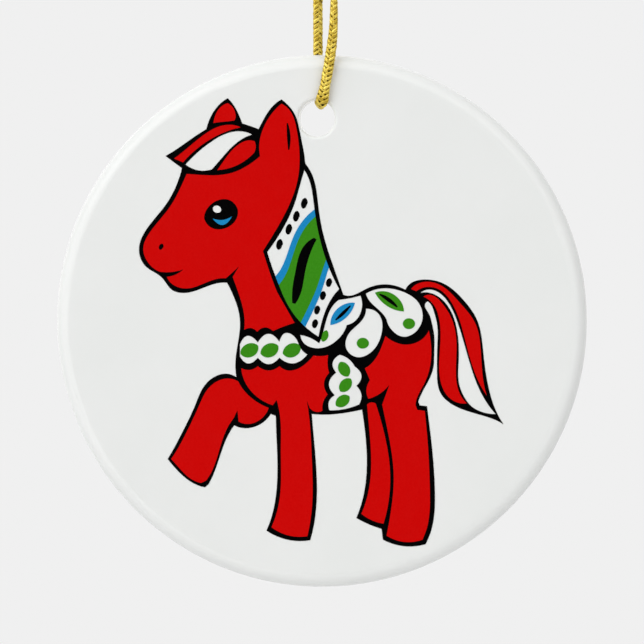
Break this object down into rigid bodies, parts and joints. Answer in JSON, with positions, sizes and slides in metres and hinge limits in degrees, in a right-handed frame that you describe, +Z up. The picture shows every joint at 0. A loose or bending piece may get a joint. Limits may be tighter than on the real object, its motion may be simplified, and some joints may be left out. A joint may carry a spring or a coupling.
{
  "type": "hanging ornament",
  "caption": "Round glazed porcelain hanging ornament printed with a folk-art horse, pierced near the rim and hung on a knotted loop of gold cord.",
  "frame": {"origin": "inside the top of the cord's hanging loop, just under its knot, where a hook or a twig holds the ornament", "axes": "+Z up along the hanging cord, +Y from the printed face to the back of the disc, +X to the right as the printed face is seen"},
  "size_m": [0.073, 0.0066, 0.1261],
  "materials": {
    "porcelain": "matt",
    "white_glaze": "gloss",
    "black_ink": "satin",
    "red_ink": "satin",
    "green_ink": "satin",
    "blue_ink": "satin",
    "gold_cord": "metallic braid"
  },
  "bodies": {
    "hanger": {"cord_front_strand": "gold_cord", "cord_back_strand": "gold_cord", "cord_knot": "gold_cord", "cord_front_tail": "gold_cord", "cord_back_tail": "gold_cord"},
    "sling": {"cord_sling": "gold_cord"},
    "disc": {"porcelain_blank": "porcelain", "glaze_coat": "white_glaze", "ink_black_linework": "black_ink", "ink_black_face": "black_ink", "ink_black_strokes": "black_ink", "ink_red_head": "red_ink", "ink_red_far_ear": "red_ink", "ink_red_forelock": "red_ink", "ink_red_chest": "red_ink", "ink_red_raised_foreleg": "red_ink", "ink_red_hindquarter": "red_ink", "ink_red_far_hind_leg": "red_ink", "ink_red_tail": "red_ink", "ink_green_mane": "green_ink", "ink_green_leaves": "green_ink", "ink_blue_mane": "blue_ink", "ink_blue_details": "blue_ink"}
  },
  "joints": [
    {"name": "loop_twist", "type": "hinge", "parent": "hanger", "child": "sling", "pos_m": [0, 0, 0], "axis": [0, 0, 1], "range_deg": [-180, 180]},
    {"name": "disc_swing", "type": "hinge", "parent": "sling", "child": "disc", "pos_m": [0, 0, -0.04895], "axis": [0, 1, 0], "range_deg": [-90, 90]}
  ]
}
